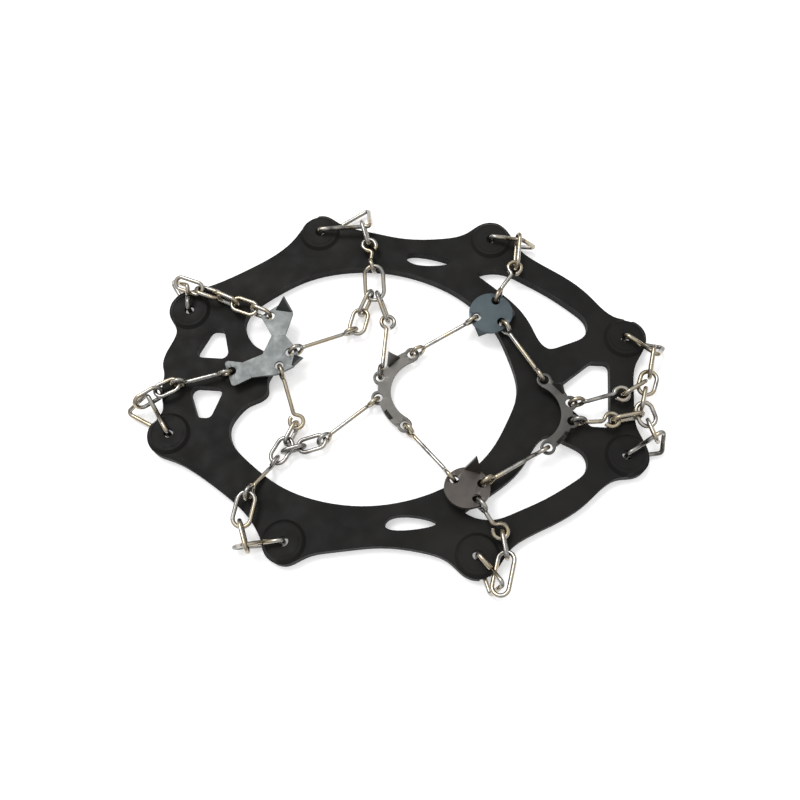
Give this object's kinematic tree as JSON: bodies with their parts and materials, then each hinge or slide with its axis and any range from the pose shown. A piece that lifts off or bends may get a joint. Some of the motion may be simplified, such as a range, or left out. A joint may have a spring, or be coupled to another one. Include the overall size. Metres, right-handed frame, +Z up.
{
  "type": "shoe ice cleats",
  "caption": "Pull-on ice cleats for a shoe: a flat rubber harness with hooks at its lugs and a net of steel spike plates, wire rods and rings across the sole.",
  "frame": {"origin": "centre of the whole assembly's footprint, on the plane that the rubber harness lies on", "axes": "+X to the toe end, +Y to the side where the round level plate is, +Z up out of the chain side of the harness"},
  "size_m": [0.1909, 0.1451, 0.0154],
  "materials": {
    "rubber": "matte moulded",
    "plate_steel": "satin stamped sheet",
    "wire_steel": "bright plated wire"
  },
  "bodies": {
    "harness": {"rubber_harness": "rubber"},
    "centre_spike_plate": {"centre_spike_plate": "plate_steel"},
    "heel_spike_plate": {"heel_spike_plate": "plate_steel"},
    "upper_spike_plate": {"upper_spike_plate": "plate_steel"},
    "lower_spike_plate": {"lower_spike_plate": "plate_steel"},
    "toe_spike_plate": {"toe_spike_plate": "plate_steel"},
    "heel_rod_tail": {"heel_rod_tail": "wire_steel"},
    "heel_rod_lower": {"heel_rod_lower": "wire_steel"},
    "heel_rod_front": {"heel_rod_front": "wire_steel"},
    "centre_rod_upper": {"centre_rod_upper": "wire_steel"},
    "centre_rod_lower": {"centre_rod_lower": "wire_steel"},
    "centre_rod_rear": {"centre_rod_rear": "wire_steel"},
    "centre_rod_front": {"centre_rod_front": "wire_steel"},
    "upper_rod_side": {"upper_rod_side": "wire_steel"},
    "upper_rod_front": {"upper_rod_front": "wire_steel"},
    "lower_rod_front": {"lower_rod_front": "wire_steel"},
    "lower_rod_side": {"lower_rod_side": "wire_steel"},
    "toe_rod_upper": {"toe_rod_upper": "wire_steel"},
    "toe_rod_lower": {"toe_rod_lower": "wire_steel"},
    "rear_rod_upper": {"rear_rod_upper": "wire_steel"},
    "rear_rod_lower": {"rear_rod_lower": "wire_steel"},
    "rear_ring_upper_1": {"rear_ring_upper_1": "wire_steel"},
    "rear_ring_upper_2": {"rear_ring_upper_2": "wire_steel"},
    "net_ring_upper_1": {"net_ring_upper_1": "wire_steel"},
    "net_ring_upper_2": {"net_ring_upper_2": "wire_steel"},
    "net_ring_upper_3": {"net_ring_upper_3": "wire_steel"},
    "net_ring_left_1": {"net_ring_left_1": "wire_steel"},
    "net_ring_left_2": {"net_ring_left_2": "wire_steel"},
    "net_ring_left_3": {"net_ring_left_3": "wire_steel"},
    "net_ring_left_4": {"net_ring_left_4": "wire_steel"},
    "rear_ring_lower_1": {"rear_ring_lower_1": "wire_steel"},
    "rear_ring_lower_2": {"rear_ring_lower_2": "wire_steel"},
    "front_ring_upper": {"front_ring_upper": "wire_steel"},
    "front_ring_lower_1": {"front_ring_lower_1": "wire_steel"},
    "front_ring_lower_2": {"front_ring_lower_2": "wire_steel"},
    "heel_ring_lower_1": {"heel_ring_lower_1": "wire_steel"},
    "heel_ring_lower_2": {"heel_ring_lower_2": "wire_steel"},
    "heel_ring_upper_1": {"heel_ring_upper_1": "wire_steel"},
    "heel_ring_upper_2": {"heel_ring_upper_2": "wire_steel"},
    "heel_ring_upper_3": {"heel_ring_upper_3": "wire_steel"},
    "heel_ring_upper_4": {"heel_ring_upper_4": "wire_steel"},
    "toe_ring_1": {"toe_ring_1": "wire_steel"},
    "toe_ring_2": {"toe_ring_2": "wire_steel"},
    "toe_ring_3": {"toe_ring_3": "wire_steel"},
    "toe_ring_4": {"toe_ring_4": "wire_steel"},
    "toe_ring_5": {"toe_ring_5": "wire_steel"},
    "toe_ring_side": {"toe_ring_side": "wire_steel"},
    "toe_ring_low_side": {"toe_ring_low_side": "wire_steel"},
    "heel_ring_head": {"heel_ring_head": "wire_steel"},
    "rear_hook_upper": {"rear_hook_upper": "wire_steel"},
    "front_hook_upper": {"front_hook_upper": "wire_steel"},
    "toe_hook_upper": {"toe_hook_upper": "wire_steel"},
    "heel_hook_upper": {"heel_hook_upper": "wire_steel"},
    "rear_hook_lower": {"rear_hook_lower": "wire_steel"},
    "front_hook_lower": {"front_hook_lower": "wire_steel"},
    "toe_hook_lower": {"toe_hook_lower": "wire_steel"},
    "heel_hook_lower": {"heel_hook_lower": "wire_steel"}
  },
  "joints": [
    {"name": "net_lift", "type": "slide", "parent": "harness", "child": "centre_spike_plate", "axis": [0, 0, 1], "range_m": [0, 0.0025]},
    {"name": "heel_spike_plate_lift", "type": "slide", "parent": "harness", "child": "heel_spike_plate", "axis": [0, 0, 1], "range_m": [0, 0.00222]},
    {"name": "upper_spike_plate_lift", "type": "slide", "parent": "harness", "child": "upper_spike_plate", "axis": [0, 0, 1], "range_m": [0, 0.00208]},
    {"name": "lower_spike_plate_lift", "type": "slide", "parent": "harness", "child": "lower_spike_plate", "axis": [0, 0, 1], "range_m": [0, 0.00191]},
    {"name": "toe_spike_plate_lift", "type": "slide", "parent": "harness", "child": "toe_spike_plate", "axis": [0, 0, 1], "range_m": [0, 0.00181]},
    {"name": "heel_rod_tail_swing", "type": "hinge", "parent": "heel_spike_plate", "child": "heel_rod_tail", "pos_m": [-0.058, -0.0006, 0.0076], "axis": [0.2838, -0.9589, 0], "range_deg": [0, 2.04]},
    {"name": "heel_rod_lower_swing", "type": "hinge", "parent": "heel_spike_plate", "child": "heel_rod_lower", "pos_m": [-0.0414, 0.0026, 0.0076], "axis": [-0.9247, -0.3807, 0], "range_deg": [0, 0.45]},
    {"name": "heel_rod_front_swing", "type": "hinge", "parent": "heel_spike_plate", "child": "heel_rod_front", "pos_m": [-0.0382, 0.008, 0.0076], "axis": [0.4825, -0.8759, 0], "range_deg": [0, 0.67]},
    {"name": "centre_rod_upper_swing", "type": "hinge", "parent": "centre_spike_plate", "child": "centre_rod_upper", "pos_m": [-0.00531, 0.00177, 0.0033], "axis": [-0.9989, 0.0474, 0], "range_deg": [0, 0.55]},
    {"name": "centre_rod_lower_swing", "type": "hinge", "parent": "centre_spike_plate", "child": "centre_rod_lower", "pos_m": [-0.00538, -0.00589, 0.0033], "axis": [0.6789, -0.7342, 0], "range_deg": [0, 0.62]},
    {"name": "centre_rod_rear_swing", "type": "hinge", "parent": "centre_spike_plate", "child": "centre_rod_rear", "pos_m": [0.00466, -0.01554, 0.0033], "axis": [0.7339, 0.6793, 0], "range_deg": [0, 1.57]},
    {"name": "centre_rod_front_swing", "type": "hinge", "parent": "centre_spike_plate", "child": "centre_rod_front", "pos_m": [0.00537, 0.01143, 0.0033], "axis": [-0.532, 0.8467, 0], "range_deg": [0, 1.2]},
    {"name": "upper_rod_side_swing", "type": "hinge", "parent": "upper_spike_plate", "child": "upper_rod_side", "pos_m": [0.03461, 0.03245, 0.0076], "axis": [-0.9101, 0.4145, 0], "range_deg": [0, 2.43]},
    {"name": "upper_rod_front_swing", "type": "hinge", "parent": "upper_spike_plate", "child": "upper_rod_front", "pos_m": [0.03698, 0.02416, 0.0076], "axis": [0.8102, 0.5861, 0], "range_deg": [0, 0.69]},
    {"name": "lower_rod_front_swing", "type": "hinge", "parent": "lower_spike_plate", "child": "lower_rod_front", "pos_m": [0.03229, -0.03628, 0.00794], "axis": [-0.5489, 0.8359, 0], "range_deg": [0, 0.31]},
    {"name": "lower_rod_side_swing", "type": "hinge", "parent": "lower_spike_plate", "child": "lower_rod_side", "pos_m": [0.03074, -0.04185, 0.00943], "axis": [0.7613, 0.6484, 0], "range_deg": [0, 2.74]},
    {"name": "toe_rod_upper_swing", "type": "hinge", "parent": "toe_spike_plate", "child": "toe_rod_upper", "pos_m": [0.06162, -0.00531, 0.0076], "axis": [-0.248, 0.9688, 0], "range_deg": [0, 1.91]},
    {"name": "toe_rod_lower_swing", "type": "hinge", "parent": "toe_spike_plate", "child": "toe_rod_lower", "pos_m": [0.06226, -0.012, 0.0076], "axis": [-0.1068, 0.9943, 0], "range_deg": [0, 2.17]},
    {"name": "rear_hook_upper_pivot", "type": "hinge", "parent": "harness", "child": "rear_hook_upper", "pos_m": [-0.033, 0.0593, 0.00425], "axis": [0.1314, -0.9913, 0], "range_deg": [0, 4.03]},
    {"name": "front_hook_upper_pivot", "type": "hinge", "parent": "harness", "child": "front_hook_upper", "pos_m": [0.032, 0.0596, 0.00425], "axis": [-0.0593, -0.9982, 0], "range_deg": [0, 4.96]},
    {"name": "toe_hook_upper_pivot", "type": "hinge", "parent": "harness", "child": "toe_hook_upper", "pos_m": [0.0816, 0.022, 0.00425], "axis": [-0.5199, -0.8542, 0], "range_deg": [0, 3.42]},
    {"name": "heel_hook_upper_pivot", "type": "hinge", "parent": "harness", "child": "heel_hook_upper", "pos_m": [-0.078, 0.024, 0.00425], "axis": [0.8925, 0.451, 0], "range_deg": [0, 4.99]},
    {"name": "rear_hook_lower_pivot", "type": "hinge", "parent": "harness", "child": "rear_hook_lower", "pos_m": [-0.033, -0.0593, 0.00425], "axis": [-0.3213, 0.947, 0], "range_deg": [0, 3.88]},
    {"name": "front_hook_lower_pivot", "type": "hinge", "parent": "harness", "child": "front_hook_lower", "pos_m": [0.032, -0.0596, 0.00425], "axis": [-0.8543, -0.5197, 0], "range_deg": [0, 1.39]},
    {"name": "toe_hook_lower_pivot", "type": "hinge", "parent": "harness", "child": "toe_hook_lower", "pos_m": [0.0816, -0.022, 0.00425], "axis": [0.5103, -0.86, 0], "range_deg": [0, 3.49]},
    {"name": "heel_hook_lower_pivot", "type": "hinge", "parent": "harness", "child": "heel_hook_lower", "pos_m": [-0.078, -0.024, 0.00425], "axis": [0.6321, 0.7749, 0], "range_deg": [0, 3.95]},
    {"name": "rear_ring_upper_1_swing", "type": "hinge", "parent": "rear_hook_upper", "child": "rear_ring_upper_1", "pos_m": [-0.0164, 0.0615, 0.0084], "axis": [-0.939, -0.3439, 0], "range_deg": [0, 1.58]},
    {"name": "rear_ring_lower_2_swing", "type": "hinge", "parent": "rear_hook_lower", "child": "rear_ring_lower_2", "pos_m": [-0.0442, -0.0631, 0.0085], "axis": [0.9237, 0.383, 0], "range_deg": [0, 1.73]},
    {"name": "front_ring_upper_swing", "type": "hinge", "parent": "front_hook_upper", "child": "front_ring_upper", "pos_m": [0.0421, 0.059, 0.0084], "axis": [-0.999, 0.0446, 0], "range_deg": [0, 2.28]},
    {"name": "front_ring_lower_2_swing", "type": "hinge", "parent": "front_hook_lower", "child": "front_ring_lower_2", "pos_m": [0.0393, -0.0716, 0.0082], "axis": [0.9853, -0.171, 0], "range_deg": [0, 2.16]},
    {"name": "heel_ring_lower_2_swing", "type": "hinge", "parent": "heel_hook_lower", "child": "heel_ring_lower_2", "pos_m": [-0.0894, -0.0147, 0.0081], "axis": [0.6201, -0.7846, 0], "range_deg": [0, 2.75]},
    {"name": "heel_ring_upper_4_swing", "type": "hinge", "parent": "heel_hook_upper", "child": "heel_ring_upper_4", "pos_m": [-0.0827, 0.0333, 0.0084], "axis": [-0.2701, -0.9628, 0], "range_deg": [0, 5.43]},
    {"name": "toe_ring_1_swing", "type": "hinge", "parent": "toe_hook_upper", "child": "toe_ring_1", "pos_m": [0.0908, 0.0164, 0.0085], "axis": [0.9891, -0.1473, 0], "range_deg": [0, 0.59]},
    {"name": "toe_ring_2_swing", "type": "hinge", "parent": "toe_ring_1", "child": "toe_ring_2", "pos_m": [0.0894, 0.007, 0.0076], "axis": [-0.9627, 0.2707, 0], "range_deg": [0, 0.43]},
    {"name": "toe_ring_3_swing", "type": "hinge", "parent": "toe_ring_2", "child": "toe_ring_3", "pos_m": [0.0876, 0.0006, 0.0076], "axis": [0.9778, -0.2095, 0], "range_deg": [0, 0.68]},
    {"name": "toe_ring_4_swing", "type": "hinge", "parent": "toe_ring_3", "child": "toe_ring_4", "pos_m": [0.0864, -0.005, 0.0079], "axis": [0.9317, 0.3632, 0], "range_deg": [0, 3.17]},
    {"name": "toe_ring_5_swing", "type": "hinge", "parent": "toe_ring_4", "child": "toe_ring_5", "pos_m": [0.0887, -0.0109, 0.0076], "axis": [0.9436, 0.3311, 0], "range_deg": [0, 0.2]},
    {"name": "toe_ring_side_swing", "type": "hinge", "parent": "toe_ring_2", "child": "toe_ring_side", "pos_m": [0.0868, 0.0038, 0.0076], "axis": [-0.5735, 0.8192, 0], "range_deg": [0, 3.23]},
    {"name": "toe_ring_low_side_swing", "type": "hinge", "parent": "toe_ring_4", "child": "toe_ring_low_side", "pos_m": [0.0855, -0.0082, 0.0076], "axis": [-0.2562, 0.9666, 0], "range_deg": [0, 4.17]},
    {"name": "rear_rod_upper_swing", "type": "hinge", "parent": "rear_ring_upper_1", "child": "rear_rod_upper", "pos_m": [-0.0138, 0.0544, 0.0076], "axis": [-0.9681, -0.2507, 0], "range_deg": [0, 0.15]},
    {"name": "rear_ring_upper_2_swing", "type": "hinge", "parent": "rear_rod_upper", "child": "rear_ring_upper_2", "pos_m": [-0.0109, 0.0432, 0.0078], "axis": [-0.993, -0.118, 0], "range_deg": [0, 0.25]},
    {"name": "net_ring_upper_1_swing", "type": "hinge", "parent": "rear_ring_upper_2", "child": "net_ring_upper_1", "pos_m": [-0.0115, 0.034, 0.0054], "axis": [-0.9227, 0.3856, 0], "range_deg": [0, 1.92]},
    {"name": "net_ring_upper_2_swing", "type": "hinge", "parent": "net_ring_upper_1", "child": "net_ring_upper_2", "pos_m": [-0.0143, 0.0273, 0.0033], "axis": [0.986, -0.1665, 0], "range_deg": [0, 1.27]},
    {"name": "net_ring_upper_3_swing", "type": "hinge", "parent": "rear_ring_upper_2", "child": "net_ring_upper_3", "pos_m": [-0.0085, 0.034, 0.005], "axis": [0.9125, 0.4091, 0], "range_deg": [0, 1.75]},
    {"name": "rear_ring_lower_1_swing", "type": "hinge", "parent": "rear_ring_lower_2", "child": "rear_ring_lower_1", "pos_m": [-0.0476, -0.0549, 0.0078], "axis": [0.9926, -0.1215, 0], "range_deg": [0, 2.5]},
    {"name": "front_ring_lower_1_swing", "type": "hinge", "parent": "front_ring_lower_2", "child": "front_ring_lower_1", "pos_m": [0.0414, -0.0595, 0.0079], "axis": [0.9772, 0.2124, 0], "range_deg": [0, 4.32]},
    {"name": "heel_ring_lower_1_swing", "type": "hinge", "parent": "heel_ring_lower_2", "child": "heel_ring_lower_1", "pos_m": [-0.0832, -0.0098, 0.0076], "axis": [0.519, -0.8548, 0], "range_deg": [0, 0.45]},
    {"name": "heel_ring_upper_3_swing", "type": "hinge", "parent": "heel_ring_upper_4", "child": "heel_ring_upper_3", "pos_m": [-0.0745, 0.031, 0.0081], "axis": [0.2595, 0.9657, 0], "range_deg": [0, 0.34]},
    {"name": "rear_rod_lower_swing", "type": "hinge", "parent": "rear_ring_lower_1", "child": "rear_rod_lower", "pos_m": [-0.0464, -0.0451, 0.0081], "axis": [0.8932, -0.4497, 0], "range_deg": [0, 1.28]},
    {"name": "net_ring_left_2_swing", "type": "hinge", "parent": "rear_rod_lower", "child": "net_ring_left_2", "pos_m": [-0.0392, -0.0308, 0.0031], "axis": [-0.8997, 0.4366, 0], "range_deg": [0, 0.62]},
    {"name": "net_ring_left_3_swing", "type": "hinge", "parent": "net_ring_left_2", "child": "net_ring_left_3", "pos_m": [-0.0362, -0.0275, 0.0033], "axis": [0.3319, -0.9433, 0], "range_deg": [0, 3.43]},
    {"name": "net_ring_left_4_swing", "type": "hinge", "parent": "net_ring_left_3", "child": "net_ring_left_4", "pos_m": [-0.0308, -0.0256, 0.0033], "axis": [-0.3482, 0.9374, 0], "range_deg": [0, 0.33]},
    {"name": "heel_ring_upper_2_swing", "type": "hinge", "parent": "heel_ring_upper_3", "child": "heel_ring_upper_2", "pos_m": [-0.0678, 0.0292, 0.0076], "axis": [-0.3624, -0.932, 0], "range_deg": [0, 0.39]},
    {"name": "net_ring_left_1_swing", "type": "hinge", "parent": "net_ring_left_2", "child": "net_ring_left_1", "pos_m": [-0.0359, -0.024, 0.0035], "axis": [-0.9407, 0.3393, 0], "range_deg": [0, 0.89]},
    {"name": "heel_ring_upper_1_swing", "type": "hinge", "parent": "heel_ring_upper_2", "child": "heel_ring_upper_1", "pos_m": [-0.0606, 0.0264, 0.0076], "axis": [0.2922, 0.9564, 0], "range_deg": [0, 0.61]},
    {"name": "heel_ring_head_swing", "type": "hinge", "parent": "heel_ring_upper_1", "child": "heel_ring_head", "pos_m": [-0.0534, 0.0242, 0.0076], "axis": [-0.3464, -0.9381, 0], "range_deg": [0, 1.19]}
  ],
  "couplings": [
    {"joint": "heel_spike_plate_lift", "follows": "net_lift", "ratio": 0.8498},
    {"joint": "upper_spike_plate_lift", "follows": "net_lift", "ratio": 0.794},
    {"joint": "lower_spike_plate_lift", "follows": "net_lift", "ratio": 0.7226},
    {"joint": "toe_spike_plate_lift", "follows": "net_lift", "ratio": 0.6841},
    {"joint": "heel_rod_tail_swing", "follows": "net_lift", "rad_per_m": 13.564},
    {"joint": "heel_rod_lower_swing", "follows": "net_lift", "rad_per_m": 2.464},
    {"joint": "heel_rod_front_swing", "follows": "net_lift", "rad_per_m": 3.987},
    {"joint": "centre_rod_upper_swing", "follows": "net_lift", "rad_per_m": 3.132},
    {"joint": "centre_rod_lower_swing", "follows": "net_lift", "rad_per_m": 3.62},
    {"joint": "centre_rod_rear_swing", "follows": "net_lift", "rad_per_m": 10.283},
    {"joint": "centre_rod_front_swing", "follows": "net_lift", "rad_per_m": 7.67},
    {"joint": "upper_rod_side_swing", "follows": "net_lift", "rad_per_m": 16.256},
    {"joint": "upper_rod_front_swing", "follows": "net_lift", "rad_per_m": 4.126},
    {"joint": "lower_rod_front_swing", "follows": "net_lift", "rad_per_m": 1.459},
    {"joint": "lower_rod_side_swing", "follows": "net_lift", "rad_per_m": 18.413},
    {"joint": "toe_rod_upper_swing", "follows": "net_lift", "rad_per_m": 12.608},
    {"joint": "toe_rod_lower_swing", "follows": "net_lift", "rad_per_m": 14.426},
    {"joint": "rear_hook_upper_pivot", "follows": "net_lift", "rad_per_m": 27.465},
    {"joint": "front_hook_upper_pivot", "follows": "net_lift", "rad_per_m": 33.937},
    {"joint": "toe_hook_upper_pivot", "follows": "net_lift", "rad_per_m": 23.203},
    {"joint": "heel_hook_upper_pivot", "follows": "net_lift", "rad_per_m": 34.11},
    {"joint": "rear_hook_lower_pivot", "follows": "net_lift", "rad_per_m": 26.419},
    {"joint": "front_hook_lower_pivot", "follows": "net_lift", "rad_per_m": 8.987},
    {"joint": "toe_hook_lower_pivot", "follows": "net_lift", "rad_per_m": 23.672},
    {"joint": "heel_hook_lower_pivot", "follows": "net_lift", "rad_per_m": 26.849},
    {"joint": "rear_ring_upper_1_swing", "follows": "net_lift", "rad_per_m": 10.35},
    {"joint": "rear_ring_lower_2_swing", "follows": "net_lift", "rad_per_m": 11.382},
    {"joint": "front_ring_upper_swing", "follows": "net_lift", "rad_per_m": 15.228},
    {"joint": "front_ring_lower_2_swing", "follows": "net_lift", "rad_per_m": 14.401},
    {"joint": "heel_ring_lower_2_swing", "follows": "net_lift", "rad_per_m": 18.473},
    {"joint": "heel_ring_upper_4_swing", "follows": "net_lift", "rad_per_m": 37.201},
    {"joint": "toe_ring_1_swing", "follows": "net_lift", "rad_per_m": 3.423},
    {"joint": "toe_ring_2_swing", "follows": "net_lift", "rad_per_m": 2.269},
    {"joint": "toe_ring_3_swing", "follows": "net_lift", "rad_per_m": 4.018},
    {"joint": "toe_ring_4_swing", "follows": "net_lift", "rad_per_m": 21.461},
    {"joint": "toe_ring_5_swing", "follows": "net_lift", "rad_per_m": 0.68},
    {"joint": "toe_ring_side_swing", "follows": "net_lift", "rad_per_m": 21.875},
    {"joint": "toe_ring_low_side_swing", "follows": "net_lift", "rad_per_m": 28.382},
    {"joint": "rear_rod_upper_swing", "follows": "net_lift", "rad_per_m": 0.342},
    {"joint": "rear_ring_upper_2_swing", "follows": "net_lift", "rad_per_m": 1.016},
    {"joint": "net_ring_upper_1_swing", "follows": "net_lift", "rad_per_m": 12.681},
    {"joint": "net_ring_upper_2_swing", "follows": "net_lift", "rad_per_m": 8.16},
    {"joint": "net_ring_upper_3_swing", "follows": "net_lift", "rad_per_m": 11.497},
    {"joint": "rear_ring_lower_1_swing", "follows": "net_lift", "rad_per_m": 16.731},
    {"joint": "front_ring_lower_1_swing", "follows": "net_lift", "rad_per_m": 29.495},
    {"joint": "heel_ring_lower_1_swing", "follows": "net_lift", "rad_per_m": 2.457},
    {"joint": "heel_ring_upper_3_swing", "follows": "net_lift", "rad_per_m": 1.661},
    {"joint": "rear_rod_lower_swing", "follows": "net_lift", "rad_per_m": 8.269},
    {"joint": "net_ring_left_2_swing", "follows": "net_lift", "rad_per_m": 3.601},
    {"joint": "net_ring_left_3_swing", "follows": "net_lift", "rad_per_m": 23.269},
    {"joint": "net_ring_left_4_swing", "follows": "net_lift", "rad_per_m": 1.589},
    {"joint": "heel_ring_upper_2_swing", "follows": "net_lift", "rad_per_m": 2.015},
    {"joint": "net_ring_left_1_swing", "follows": "net_lift", "rad_per_m": 5.495},
    {"joint": "heel_ring_upper_1_swing", "follows": "net_lift", "rad_per_m": 3.57},
    {"joint": "heel_ring_head_swing", "follows": "net_lift", "rad_per_m": 7.586}
  ]
}
